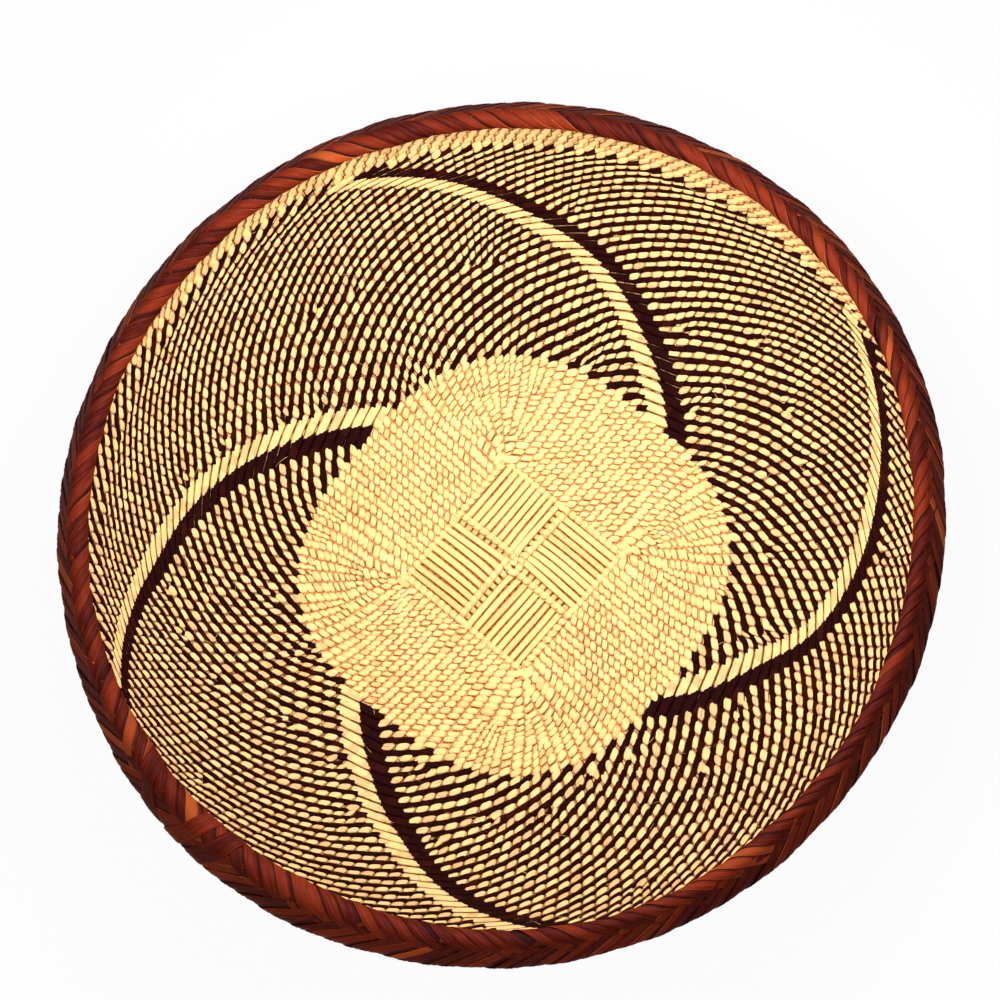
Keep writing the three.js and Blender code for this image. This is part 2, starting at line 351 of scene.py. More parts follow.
def planted():
    """For every row, the turn, number and colour parity of each splint that stands in it.

    In the base each splint moves on square to the row, and in the wall up with a lean. The longest gaps
    are filled by pairs until the row has its stitches, but seldom within an arm, and then the gaps are
    evened out a little by moving each towards the mean of its neighbours. Each wall row also keeps where
    its arms start, which is one splint further anticlockwise than in the row before."""
    places = side_places()
    turns = np.concatenate([
        np.arctan2(places, ROW_REACH[0]) + SQUARE_TURN + side * math.pi / 2 for side in range(4)
    ])
    numbers = np.arange(4 * SIDE_SPLINTS)
    parity = numbers % 2
    grid = np.linspace(0, 2 * math.pi, TURN_STEPS + 1)
    arms = []
    made = []
    for row in range(ROWS):
        if 0 < row < BASE_ROWS:
            turns = turns + base_drift(turns, row)
        if BASE_ROWS - HAND_SHIFT_ROWS < row <= BASE_ROWS:
            shift = np.interp(np.degrees(turns), *zip(*HAND_SHIFTS), period=360)
            turns = turns + np.radians(shift) / HAND_SHIFT_ROWS
        if row > BASE_ROWS:
            share = 1 - LEAN_VARIATION * np.cos(turns - LEAST_LEAN_TURN)
            turns = turns + share * (wall_lean(row) - wall_lean(row - 1))
        radius = np.hypot(*on_bowl(row_length(row, grid), grid, 0.0)[0][:, :2].T)
        steps = (radius[1:] + radius[:-1]) / 2 * np.diff(grid)
        run = np.concatenate([[0], np.cumsum(steps * corner_stretch(row, grid))])
        whole = run[-1]
        first = turns[0]
        spots = np.interp((turns - first) % (2 * math.pi), grid, rolled_run(run, grid, first))
        wanted = whole / np.interp(row, *zip(*STITCH_PITCH_STAGES))
        gaps = np.diff(np.append(spots, whole))
        while len(gaps) < 2 * round(wanted / 2) and row > 0:
            tried = gaps * (1 + GAP_CHANCE * dice.random(len(gaps)))
            tried *= 1 - NEAR_GAP_SHARE * nearness(turns[0] + 2 * math.pi * np.cumsum(gaps) / whole)
            for number in arms:
                start = int(np.argmax(numbers == number)) - 1
                tried[(start - 1 + np.arange(2 * FLOAT_SPLINTS + 1)) % len(gaps)] *= ARM_GAP_SHARE
            widest = int(np.argmax(tried))
            third = gaps[widest] / 3
            gaps[widest] = third
            gaps = np.insert(gaps, widest + 1, [third, third])
            fresh = numbers.max() + 1
            numbers = np.insert(numbers, widest + 1, [fresh, fresh + 1])
            start = parity[widest]
            parity = np.insert(parity, widest + 1, [1 - start, start])
        before = np.cumsum(gaps) - gaps
        for _ in range(BASE_EVENINGS if row < BASE_ROWS else WALL_EVENINGS):
            gaps = gaps + EVENING_SHARE * (np.roll(gaps, 1) - 2 * gaps + np.roll(gaps, -1))
        after = np.cumsum(gaps) - gaps
        after += (before - after).mean()
        turns = np.interp(after, rolled_run(run, grid, first), grid) + first
        if row == BASE_ROWS:
            arms = [numbers[arm_start(turns, parity, *arm)] for arm in ARMS]
        elif row > BASE_ROWS:
            arms = [numbers[int(np.argmax(numbers == number)) - 1] for number in arms]
        made.append((turns, numbers.copy(), parity.copy(), list(arms)))
    return made


def arm_start(turns, parity, middle, first):
    """The splint of the first wall row at which the arm about a middle starts, with its strand in front."""
    reach = (FLOAT_SPLINTS - 0.5) * 2 * math.pi / len(turns)
    away = np.abs(np.angle(np.exp(1j * (turns - math.radians(middle) + reach))))
    away[plain_front(parity, BASE_ROWS) != first] = math.inf
    return int(np.argmin(away))


def plain_front(parity, row):
    """Which strand is in front at each splint where they take turns: 1 for the first, -1 for the second."""
    return 1 - 2 * ((parity + row) % 2)


def wall_lean(row):
    """How far the wall's splints have leant clockwise by a row: fast at first, and then less and less."""
    left = 1 - (row - BASE_ROWS) / WALL_ROWS
    return WALL_LEAN * (1 - left ** WALL_LEAN_POWER)


def corner_stretch(row, turn):
    """How much longer the row is at a turn than a circle's arc there, from the slope of its length."""
    step = 1e-3
    length = row_length(row, turn)
    slope = (row_length(row, turn + step) - length) / step / length
    stretch = np.sqrt(1 + slope * slope)
    return (stretch[1:] + stretch[:-1]) / 2


def rolled_run(run, grid, start):
    """The run along the row measured from another starting turn, at the turns of the grid past it."""
    whole = run[-1]
    shifted = (grid + start) % (2 * math.pi)
    length = np.interp(shifted, grid, run) - np.interp(start % (2 * math.pi), grid, run)
    length = np.where(length < -1e-9, length + whole, length)
    length[-1] = whole
    return length


def base_drift(turns, row):
    """How far a splint's turn changes to the next base row when it runs square to the row before."""
    power = ROW_SQUARENESS[row - 1]
    length = row_length(row - 1, turns)
    place = np.stack([np.cos(turns - SQUARE_TURN), np.sin(turns - SQUARE_TURN)])
    normal = np.sign(place) * np.abs(place) ** (power - 1)
    normal /= np.hypot(*normal)
    moved = place * length + normal * ROW_PITCH[row]
    turned_by = np.arctan2(moved[1], moved[0]) - np.arctan2(place[1], place[0])
    return (turned_by + math.pi) % (2 * math.pi) - math.pi


PLANTED = planted()


# Meshes of many tubes. Each point keeps where it lies in its strand, and each tube has its own strip of map.
RUN_PARTS = ("points", "fibre", "tone", "neck")
STRIP_START = 0.04
STRIP_WIDTH = 0.92
SECTION_FULLNESS = 0.8


def section(sides):
    """The two coordinates of a rounded section of half size 1: signed powers of the cosine and the sine."""
    angle = 2 * math.pi * (np.arange(sides) + (0.5 if sides % 4 == 0 else 0)) / sides
    circle = np.stack([np.cos(angle), np.sin(angle)])
    return np.sign(circle) * np.abs(circle) ** SECTION_FULLNESS


def swept(place, side, rise, wide, thick, sides):
    """A tube's points: each ring's place, plus its side and rise times the scaled section, given back too."""
    across, upward = section(sides)
    local_across = wide[:, None] * across
    local_up = np.reshape(thick, (-1, 1)) * upward
    points = place[:, None] + side[:, None] * local_across[..., None] + rise[:, None] * local_up[..., None]
    return points, local_across, local_up


def ring_run(points, along, across, up, tone, neck):
    """What tubes needs of one tube: its points, fibre coordinates, and tone and neck at each point. Neck
    mostly sets the painted shade; on bark it also places the tan edge.
    """
    shape = across.shape
    fibre = np.stack(np.broadcast_arrays(along[:, None], across, up), -1)
    tone = np.broadcast_to(np.reshape(tone, (-1, 1)), shape)
    neck = np.broadcast_to(np.clip(neck, 0, 1), shape)
    return {"points": points, "fibre": fibre, "tone": tone, "neck": neck}


def tubes(name, runs, closed=True):
    """One mesh of several tubes, each a run of rings with as many points in every ring.

    A run that isn't closed to a loop comes to a point at its ends."""
    quads, maps = [], []
    start = 0
    for number, run in enumerate(runs):
        rings, sides = run["tone"].shape
        loop = closed and run.get("closed", True)
        steps = rings if loop else rings - 1
        if not loop:
            run["points"] = run["points"].copy()
            run["points"][[0, -1]] = run["points"][[0, -1]].mean(axis=1, keepdims=True)
        ring = np.arange(steps)[:, None]
        spot = np.arange(sides)[None, :]
        this, that = ring * sides, (ring + 1) % rings * sides
        beside = (spot + 1) % sides
        faces = np.stack([this + spot, that + spot, that + beside, this + beside], -1)
        quads.append(start + faces.reshape(-1, 4))
        strip = (number + STRIP_START + STRIP_WIDTH * spot / sides) / len(runs)
        low = np.stack(np.broadcast_arrays(ring / steps, strip), -1)
        step = np.array([1 / steps, STRIP_WIDTH / sides / len(runs)])
        corners = np.array([(0, 0), (1, 0), (1, 1), (0, 1)])
        maps.append((low[..., None, :] + corners * step).reshape(-1, 2))
        start += rings * sides
    joined = {
        part: np.concatenate([run[part].reshape(-1, *run[part].shape[2:]) for run in runs])
        for part in RUN_PARTS
    }
    return surface(name, joined.pop("points"), np.concatenate(quads), np.concatenate(maps), joined)


def surface(name, points, quads, corners_map, attributes):
    """An object of a mesh of four-cornered faces in millimetres, smooth, with its map and attributes."""
    mesh = bpy.data.meshes.new(name)
    mesh.vertices.add(len(points))
    mesh.vertices.foreach_set("co", (points * MILLIMETRE).ravel())
    mesh.loops.add(quads.size)
    mesh.loops.foreach_set("vertex_index", quads.ravel().astype(np.int32))
    mesh.polygons.add(len(quads))
    mesh.polygons.foreach_set("loop_start", np.arange(0, quads.size, 4, dtype=np.int32))
    mesh.polygons.foreach_set("use_smooth", np.ones(len(quads), dtype=bool))
    mesh.update(calc_edges=True)
    mesh.uv_layers.new(name="OFBake").data.foreach_set("uv", corners_map.ravel())
    for label, values in attributes.items():
        kind, part = ("FLOAT_VECTOR", "vector") if values.ndim == 2 else ("FLOAT", "value")
        mesh.attributes.new(label, kind, "POINT").data.foreach_set(part, values.ravel())
    return added(name, mesh)


def placed(piece, material, slot, *nodes):
    """Gives a piece its material, its body and the CAD solids that it stands for, which it hides. The slot is
    not used.
    """
    piece.data.materials.append(material)
    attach(piece, "root")
    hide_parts(*nodes)


# Palm, straw-coloured with fine lengthwise fibres, and with painted shade in orange where strands press
# together, in the necks of stitches and along their edges.
PALM_PALE = shown(254, 210, 135)
# The deep colours stand mostly for painted shade in necks and edges; the darker streaks and tones blend
# towards them too.
PALM_DEEP = shown(186, 92, 34)
STRIPED_PALE = shown(255, 204, 132)
# Darker in the wall, so that the painted shade between stitches reads as shadow lines.
STRIPED_DEEP = shown(112, 46, 18)
PALM_WARM = shown(248, 196, 116)
DYED_DARK = shown(32, 4, 2)
DYED_BROWN = shown(64, 20, 8)
PAINTED_SHADE_DEPTH = 0.82
TONE_DEPTH = 0.24
TINT_SHARE = 0.45


def blended(tree, share, first, second):
    """A colour share of the way from the first to the second."""
    return tree.node("ShaderNodeMix", {"data_type": "RGBA"}, {0: share, 6: first, 7: second}, output=2)


def kept_value(tree, name, output="Fac"):
    """What each point of a strand keeps under a name."""
    return tree.node("ShaderNodeAttribute", {"attribute_name": name}, output=output)


def fibres_along(tree, stretch, fineness):
    """Fine streaks along a strand: noise on its own coordinates, drawn out along its length."""
    place = kept_value(tree, "fibre", "Vector")
    scale = (stretch, fineness, fineness)
    scaled = tree.node("ShaderNodeVectorMath", {"operation": "MULTIPLY"}, {0: place, 1: scale})
    return tree.node("ShaderNodeTexNoise", inputs={"Vector": scaled, "Scale": 1.0, "Detail": 3.0})


def grained(tree, shader, colour, streak, strength, distance):
    """Gives a shader its colour, and a bump that follows the streaks."""
    colour.into(shader, "Base Color")
    sockets = {"Strength": strength, "Distance": distance, "Height": streak}
    tree.node("ShaderNodeBump", inputs=sockets).into(shader, "Normal")


def palm(name, pale, deep, tint, roughness, shine, depth):
    """A palm finish: pale on the crown of a stitch, with painted shade in the deep colour in its necks and at
    its edges, each stitch a little different.
    """
    material, tree, shader = finish_of(name, roughness)
    shader.inputs["Specular IOR Level"].default_value = shine
    tone, neck = kept_value(tree, "tone"), kept_value(tree, "neck")
    streak = fibres_along(tree, 0.28, 2.4)
    # The neck share is painted shade, in necks and at edges; the streaks and the tone are the palm's own.
    share = neck.between(0.7 - depth, 1.0) * PAINTED_SHADE_DEPTH + streak.between(0.5, 0.72) * depth
    colour = blended(tree, share + tone.between(0.5, 1.0) * TONE_DEPTH, pale, deep)
    colour = blended(tree, tone.between(0.35, 0.0) * TINT_SHARE, colour, tint)
    grained(tree, shader, colour, streak, 0.5, 0.0004)
    return material


palm_pale = palm("natural_palm", PALM_PALE, PALM_DEEP, PALM_WARM, 0.6, 0.15, 0.38)
palm_striped = palm("striped_palm", STRIPED_PALE, STRIPED_DEEP, PALM_WARM, 0.6, 0.12, 0.46)
palm_dark = palm("dyed_palm", DYED_DARK, DYED_DARK, DYED_BROWN, 0.7, 0.03, 0.3)


# The strands. Each stitch slants outwards as it goes clockwise.
STITCH_STEPS = 6
STRAND_SIDES = 6
STRAND_DEPTH = 1.1
STRAND_HALF_THICKNESS = 0.6
DIVE_DELAY = 0.3
BASE_SHIFT_SHARE = 0.22
WALL_SHIFT_SHARE = 0.34
BORDER_SHIFT_SHARE = 0.42
BORDER_STAGGER = 0.25
BORDER_NECK_SHARE = 0.52
DARK_END_SHARE = 0.3
DARK_END_GROWTH = 4.0
LAST_LENGTH = 209.0
FLOAT_HALF_WIDTH_SHARE = 0.66
FLOAT_THICKNESS_SHARE = 0.8
FLOAT_TAPER = 2.2
SIZE_VARIATION = 0.15
PLACE_VARIATION = 0.07
PALE_WIDTH_SHARES = (0.71, 0.33)
DARK_WIDTH_SHARES = (0.56, 0.5)
HAND_WOBBLE = 0.4
RIPPLES = [(5, 0.9, 0.0), (11, 0.37, 2.1), (23, 1.7, 4.4)]
SWELL_POWER = 0.8
NECK_THINNESS = 0.14
NECK_SHADE = 0.9
STREAK_OFFSET = 9.7


def ripple(turn, row):
    """A slow unevenness along a row: three sines whose phases drift from row to row."""
    waves = sum(np.sin(count * turn + drift * row + start) for count, drift, start in RIPPLES)
    return HAND_WOBBLE * waves / len(RIPPLES)


def front_strands():
    """For each row, which strand is in front at each splint: 1 for the first, -1 for the second.

    They take turns, and the turn also depends on the row, so that stripes rise one splint clockwise in each
    row. Each arm is three splints of one strand and three of the other, and stops at the border."""
    rows = []
    for row, (turns, numbers, parity, arms) in enumerate(PLANTED):
        front = plain_front(parity, row)
        for number, (_, first) in zip(arms, ARMS):
            start = int(np.argmax(numbers == number))
            spots = (start + np.arange(2 * FLOAT_SPLINTS)) % len(turns)
            if border_share(row, turns[spots]).max() < 0:
                front[spots] = np.repeat([first, -first], FLOAT_SPLINTS)
        rows.append(front)
    return rows


FRONT = front_strands()


def run_places(front):
    """For each splint of a row, how many splints its float has, and which of them it is."""
    count = len(front)
    starts = np.flatnonzero(front != np.roll(front, 1))
    owner = np.searchsorted(starts, np.arange(count), side="right") - 1
    first = starts[owner]
    length = np.diff(np.append(starts, starts[0] + count))[owner]
    return length, (np.arange(count) - first) % count


def corner_row_share(row, turn):
    """A row's pitch at a turn over its pitch along the sides, from its own and the next row's length."""
    low, high = (row, row + 1) if row + 1 < ROWS else (row - 1, row)
    apart = row_length(high, turn) - row_length(low, turn)
    return apart / (ROW_REACH[high] - ROW_REACH[low])


def shade(swell, across, wide):
    """Painted shade: how deep a strand's colour is, by the cube of its narrowing and the fourth power across
    it, darkest in the necks and at the edges.
    """
    return NECK_SHADE * (1 - swell[:, None]) ** 3 + (across / wide[:, None]) ** 4


def strand(row, which, width_shares):
    """One strand of a row as a run for tubes. Its half widths, in stitch and neck, are shares of the pitch.

    u counts splints. The depth goes from one splint's to the next as a cosine, and is the strand's depth
    in front and its negative behind. It dives late and rises early, so that both lie side by side between.
    The shift across the row goes from inwards to outwards over a front float, and back behind, as a sine.
    The width swells from the neck to the middle of a stitch as a sine."""
    turns = PLANTED[row][0]
    front = FRONT[row] * which
    count = len(turns)
    u = np.arange(count * STITCH_STEPS) / STITCH_STEPS - 0.5
    left = np.floor(u).astype(int)
    share = u - left
    owner = np.floor(u + 0.5).astype(int) % count
    length, number = run_places(front)
    through = (number[owner] + u + 0.5 - np.floor(u + 0.5)) / length[owner]
    around = np.append(turns, turns[0] + 2 * math.pi)
    turn = np.interp(u % count, np.arange(count + 1), around)
    border = np.clip(border_share(row, turn), 0, 1)
    turn = turn + BORDER_STAGGER * (1 - 2 * (row % 2)) * border * 2 * math.pi / count
    before, after = front[left % count], front[(left + 1) % count]
    late = np.where(before > after, DIVE_DELAY, 0)
    dive = np.clip((share - late) / (1 - DIVE_DELAY), 0, 1)
    blend = np.cos(dive * math.pi / 2) ** 2
    level = before * blend + after * (1 - blend)
    size = dice.normal(1, SIZE_VARIATION, count)[owner]
    floats = length[owner] >= FLOAT_SPLINTS
    pitch = ROW_PITCH[row] * corner_row_share(row, turn)
    shift = BASE_SHIFT_SHARE if row < BASE_ROWS else WALL_SHIFT_SHARE
    shift = shift + (BORDER_SHIFT_SHARE - shift) * border
    wave = front[owner] * np.sin(math.pi * (through - 0.5)) * shift * pitch
    middle, normal = on_bowl(row_length(row, turn) + ripple(turn, row), turn, 0.0)
    forward = np.roll(middle, -1, 0) - np.roll(middle, 1, 0)
    forward /= np.linalg.norm(forward, axis=1)[:, None]
    side = np.cross(forward, normal)
    end = np.minimum(through, 1 - through) * length[owner]
    swell = np.sin(math.pi * np.minimum(end / np.where(floats, FLOAT_TAPER, 1), 0.5)) ** SWELL_POWER
    full = np.where(floats, FLOAT_HALF_WIDTH_SHARE, width_shares[0] * size)
    neck_share = width_shares[1] + (BORDER_NECK_SHARE - width_shares[1]) * border
    wide = pitch * (neck_share + (full - neck_share) * swell)
    if which < 0:
        narrowed = np.clip(DARK_END_SHARE - DARK_END_GROWTH * border_share(row, turn), 0, 1)
        wide = wide * np.where(border > 0, 1, narrowed)
    wave = wave + dice.normal(0, PLACE_VARIATION, count)[owner] * pitch * swell * ~floats
    thick = STRAND_HALF_THICKNESS * (1 - NECK_THINNESS * (1 - swell))
    thick = thick * np.where(floats, FLOAT_THICKNESS_SHARE, np.sqrt(size))
    gaps = np.linalg.norm(np.roll(middle, -1, 0) - middle, axis=1)
    place = middle - side * wave[:, None] + normal * (level * STRAND_DEPTH)[:, None]
    points, across, up = swept(place, side, normal, wide, thick, STRAND_SIDES)
    offset = STREAK_OFFSET * (2 * row + which)
    tone = dice.random(count)[owner]
    run = ring_run(points, np.cumsum(gaps), across + offset, up, tone, shade(swell, across, wide))
    run["natural"] = border_share(row, turn) >= 0
    run["shown"] = row_length(row, turn) < LAST_LENGTH
    return run


def stretches(run, wanted):
    """The wanted parts of a strand, without what lies past the rim: the whole loop, nothing, or open runs."""
    wanted = wanted & run["shown"]
    if wanted.all() or not wanted.any():
        return [run] * int(wanted[0])
    first = int(np.flatnonzero(wanted & ~np.roll(wanted, 1))[0])
    edges = np.append(0, np.flatnonzero(np.diff(np.roll(wanted, -first))) + 1)
    made = []
    for low, high in zip(edges[::2], edges[1::2]):
        spots = (np.arange(low - 1, high + 1) + first) % len(wanted)
        made.append({"closed": False, **{part: run[part][spots] for part in RUN_PARTS}})
    return made


def weft(zone):
    """The CAD solids that stand for one zone's strands."""
    return f"{zone}_weft_inside", f"{zone}_weft_outside"


BASE_WIDTH_SHARES = (0.55, 0.34)
BASE_BANDS = [("inner", 0, 10), ("outer", 10, BASE_ROWS)]
WALL_BANDS = [
    ("wall", 1, BASE_ROWS, 26, "striped_palm", "lower_wall"),
    ("wall", 2, 26, 36, "striped_palm", "lower_wall"),
    ("wall", 3, 36, 46, "striped_palm", "upper_wall"),
    ("wall", 4, 46, 55, "striped_palm", "upper_wall"),
    ("border", 5, 55, ROWS, "natural_palm", "border"),
]

for part, low, high in BASE_BANDS:
    runs = [strand(row, which, BASE_WIDTH_SHARES) for row in range(low, high) for which in (1, -1)]
    placed(tubes(f"base_strands_{part}", runs), palm_pale, "natural_palm", *weft("base"))
for part, band, low, high, slot, zone in WALL_BANDS:
    undyed = [strand(row, 1, PALE_WIDTH_SHARES) for row in range(low, high)]
    dyed = [strand(row, -1, DARK_WIDTH_SHARES) for row in range(low, high)]
    pale = [stretch for run in undyed for stretch in stretches(run, run["shown"])]
    pale += [stretch for run in dyed for stretch in stretches(run, run["natural"])]
    dark = [stretch for run in dyed for stretch in stretches(run, ~run["natural"])]
    placed(tubes(f"{part}_pale_strands_{band}", pale), palm_striped, slot, *weft(zone))
    placed(tubes(f"{part}_dark_strands_{band}", dark), palm_dark, "dark_palm", *weft(zone))


# Stray fibres of palm. Thin ends stand off the inner face here and there, where a strand frayed
# or where it ended and the next one was laid in.
STRAY_COUNT = 170
STRAY_LENGTHS = (3.0, 8.0)
STRAY_RADIUS = 0.13
STRAY_STEPS = 9
STRAY_SIDES = 4
STRAY_REACH = (60.0, 195.0)
STRAY_HEADING = 0.9
STRAY_BEND = 0.3
STRAY_LIFT = 1.3
STRAY_RISES = (0.5, 2.0)
STRAY_ARCHES = (1.2, 3.0)


def followed(middle, normals, wide, thick, sides, course=None):
    """A tube along a path, as swept gives it, its side square to the normals and the path or a course."""
    forward = np.gradient(middle if course is None else course, axis=0)
    forward /= np.linalg.norm(forward, axis=1)[:, None]
    return swept(middle, np.cross(forward, normals), normals, wide, thick, sides)


def stray_fibre():
    """One fibre: its lift is a sine of its length, and it bends sideways as a square of it."""
    whole = dice.uniform(*STRAY_LENGTHS)
    along = np.linspace(0, 1, STRAY_STEPS)
    heading = dice.uniform(-STRAY_HEADING, STRAY_HEADING) + math.pi * dice.integers(2)
    bend = dice.normal(0, STRAY_BEND) * along ** 2
    length = math.sqrt(dice.uniform(STRAY_REACH[0] ** 2, STRAY_REACH[1] ** 2))
    run = whole * (along * math.cos(heading) - bend * math.sin(heading))
    out = whole * (along * math.sin(heading) + bend * math.cos(heading))
    turn = dice.uniform(0, 2 * math.pi) + run / length
    lift = STRAY_LIFT + dice.uniform(*STRAY_RISES) * np.sin(along * dice.uniform(*STRAY_ARCHES))
    middle, normal = on_bowl(length + out, turn, lift)
    size = STRAY_RADIUS * (1.1 - along)
    points, across, up = followed(middle, normal, size, size, STRAY_SIDES)
    return ring_run(points, whole * along, across, up, dice.random(), dice.uniform(0.5, 1.0))


strays = [stray_fibre() for _ in range(STRAY_COUNT)]
placed(tubes("stray_fibres", strays, False), palm_striped, "natural_palm", *weft("upper_wall"))


# Short twined seams of palm strand in the crossing. One holds each block's splints beside the middle,
# and one fills the space between each block's outer splint and the first row, with another below it.
# Knots close the gaps and the corners, and two flat strands lie under the gaps between the bundles, wholly in
# the deep colour as painted shade seen through the gaps.
SEAM_PLACE = 2.6
FILLER_PLACE = 33.2
SEAM_DEPTH = 1.15
SEAM_LEVEL = 0.75
LOW_SEAM_LEVEL = -0.35
SEAM_HALF_WIDTH = 1.75
SEAM_HALF_THICKNESS = 0.7
SEAM_SLANT = 0.5
SEAM_STEPS = 60
SEAM_END_DROP = 0.9
SEAM_LINES = [(SEAM_PLACE, 1, SEAM_LEVEL), (FILLER_PLACE, -1, SEAM_LEVEL), (FILLER_PLACE, 1, LOW_SEAM_LEVEL)]
KNOT_PLACES = (-34.0, 0.0, 34.0)
KNOT_HALF_LENGTH = 2.8
KNOT_STEPS = 9
KNOT_LEVEL = 0.9
KNOT_DROP = 1.9
KNOT_TURN = 0.3
LACING_STEPS = 13
LACING_HALF_WIDTH = 2.7
LACING_HALF_THICKNESS = 0.2
LACING_LEVELS = [(0, -1.55), (1, -1.96)]
SPLINT_SIDES = 8
UPRIGHT = np.array([0.0, 0.0, 1.0])


def flat_point(across, along, depth):
    """A point of the flat crossing, given along its own two directions, square to each other."""
    turn = np.arctan2(-along, across) + SQUARE_TURN
    return on_bowl(np.hypot(across, along), turn, depth)[0]


def laid(middle, wide, thick):
    """A tube's points along a path in the crossing, level from side to side."""
    rise = np.broadcast_to(UPRIGHT, middle.shape)
    return followed(middle, rise, wide, thick, SPLINT_SIDES, middle * (1 - UPRIGHT))


def seam(block, which, place, way, level):
    """One strand of a seam, which lies at a place out from the middle, square to the way that it runs.

    It rises over one splint and dips under the next as a cosine, and its ends go down between the splints.
    The four blocks are quarter turns of the same two strands, and way is 1 or -1 for the side it runs to."""
    steps = np.linspace(-0.7, SIDE_SPLINTS / 2 + 0.3, SEAM_STEPS)
    wave = which * np.cos(math.pi * (steps - 0.5))
    ending = eased(np.abs(steps - SIDE_SPLINTS / 4), SIDE_SPLINTS / 4 - 0.1, SIDE_SPLINTS / 4 + 0.3)
    reach = place - SEAM_SLANT * which * np.sin(math.pi * (steps - 0.5))
    beside = way * (BUNDLE_GAP / 2 + SPLINT_PITCH * steps)
    quarter = block * math.pi / 2
    across = reach * math.cos(quarter) - beside * math.sin(quarter)
    along = reach * math.sin(quarter) + beside * math.cos(quarter)
    middle = flat_point(across, along, level + SEAM_DEPTH * wave - SEAM_END_DROP * ending * np.sign(level))
    swell = np.abs(wave) ** 0.6
    wide = SEAM_HALF_WIDTH * (0.5 + 0.5 * swell)
    points, width, up = laid(middle, wide, SEAM_HALF_THICKNESS)
    tone = dice.random(SIDE_SPLINTS)[np.clip(np.round(steps), 0, SIDE_SPLINTS - 1).astype(int)]
    return ring_run(points, SPLINT_PITCH * steps, width + 7.1 * block, up, tone, shade(swell, width, wide))


def knot(across, along):
    """A short end of strand that closes the gap between the bundles, as an arch over it."""
    steps = np.linspace(-1, 1, KNOT_STEPS)
    heading = SEAM_SLANT + dice.normal(0, KNOT_TURN)
    run = KNOT_HALF_LENGTH * steps
    level = KNOT_LEVEL - KNOT_DROP * steps ** 2
    middle = flat_point(across + run * math.cos(heading), along + run * math.sin(heading), level)
    wide = SEAM_HALF_WIDTH * (1.1 - 0.5 * steps ** 2)
    points, width, up = laid(middle, wide, SEAM_HALF_THICKNESS)
    # Painted shade, deeper towards the knot's ends and at its edges.
    neck = 0.5 * steps[:, None] ** 2 + (width / wide[:, None]) ** 4
    return ring_run(points, run, width + across, up, dice.random(), neck)


def lacing(way, level):
    """A flat strand straight across below the gap between the bundles, wholly in the deep colour, as painted
    shade seen through the gap.
    """
    run = np.linspace(-WINDOW_HALF, WINDOW_HALF, LACING_STEPS)
    middle = flat_point(run, 0 * run, level) if way == 0 else flat_point(0 * run, run, level)
    wide = np.full(LACING_STEPS, LACING_HALF_WIDTH)
    points, width, up = laid(middle, wide, LACING_HALF_THICKNESS)
    # Neck of 1 everywhere: the whole strand is painted shade.
    return ring_run(points, run, width + 5.3 * way, up, 0.5, np.ones_like(width))


seams = [seam(block, which, *line) for line in SEAM_LINES for block in range(4) for which in (1, -1)]
seams += [knot(across, along) for across in KNOT_PLACES for along in KNOT_PLACES]
seams += [lacing(way, level) for way, level in LACING_LEVELS]
placed(tubes("crossing_seams", seams, False), palm_pale, "natural_palm", *weft("base"))


# The splints, flat and stiff, split from palm leaf stalks. Those of one side of the crossing run through
# it to the opposite side, over the other way's splints in two of its four blocks and under them in two.
# The rest are pushed in later, where the rows open up. All end inside the rim.
SPLINT_HALF_WIDTH = 1.5
SPLINT_HALF_THICKNESS = 0.5
CROSSING_LEVEL = 0.72
CROSSING_STEPS = 44
ADDED_HALF_WIDTH = 1.1
RIM_LENGTH = 208.0
EDGE_POWER = 2.2
SPLINT_UNEVENNESS = 0.05
UNDER_GROWTH = 0.12
WAVE_VARIATION = 0.1
BOW_VARIATION = 0.12
WAYS = ("across", "along")
CORNERS = ("right", "back", "left", "front")
STAKE_NODES = [f"stake_{way}_{number + 1:02d}" for way in WAYS for number in range(SIDE_SPLINTS)]
CORNER_NODES = [f"corner_stake_{corner}_{number}" for corner in CORNERS for number in (1, 2, 3)]


def upward_part(number):
    """The points and normals of a splint from the first row that it stands in to the rim."""
    stood = [(row, turns[numbers == number]) for row, (turns, numbers, *_) in enumerate(PLANTED)]
    stood = [(row_length(row, turn[0]), turn[0]) for row, turn in stood if len(turn)]
    lengths, turns = np.transpose([place for place in stood if place[0] < RIM_LENGTH])
    return on_bowl(np.append(lengths, RIM_LENGTH), np.append(turns, turns[-1]), 0.0)


def crossing_part(way, offset):
    """The points of a splint between its two sides: nearly straight, and above or below by its block."""
    run = np.linspace(-WINDOW_HALF + 0.5, WINDOW_HALF - 0.5, CROSSING_STEPS)
    wave = dice.normal(0, WAVE_VARIATION) * np.sin(run / 9 + dice.uniform(0, 6))
    bow = BOW_VARIATION * dice.normal() * (run / WINDOW_HALF) ** 2
    block = np.tanh(run / 1.3) * (1 - eased(np.abs(run), WINDOW_HALF - 4, WINDOW_HALF))
    level = CROSSING_LEVEL * block * np.sign(offset)
    beside = offset + (wave + bow)
    return flat_point(run, beside, level) if way == 0 else flat_point(beside, run, -level)


def splint(points, normals, half_width, seed, under=0.0):
    """A flat splint along points, as a run for tubes, with painted shade at its edges and on its top where it
    lies under others.
    """
    along = np.cumsum(np.linalg.norm(np.gradient(points, axis=0), axis=1))
    wide = half_width * (1 + SPLINT_UNEVENNESS * np.sin(along / 7 + seed) + UNDER_GROWTH * under)
    made, across, up = followed(points, normals, wide, SPLINT_HALF_THICKNESS, SPLINT_SIDES)
    # Painted shade: the edges, and the top face where the splint lies under the other splints.
    neck = np.abs(across / wide[:, None]) ** EDGE_POWER + np.reshape(under, (-1, 1)) * (up > 0)
    return ring_run(made, along, across + 11.3 * seed, up, dice.random(), neck)


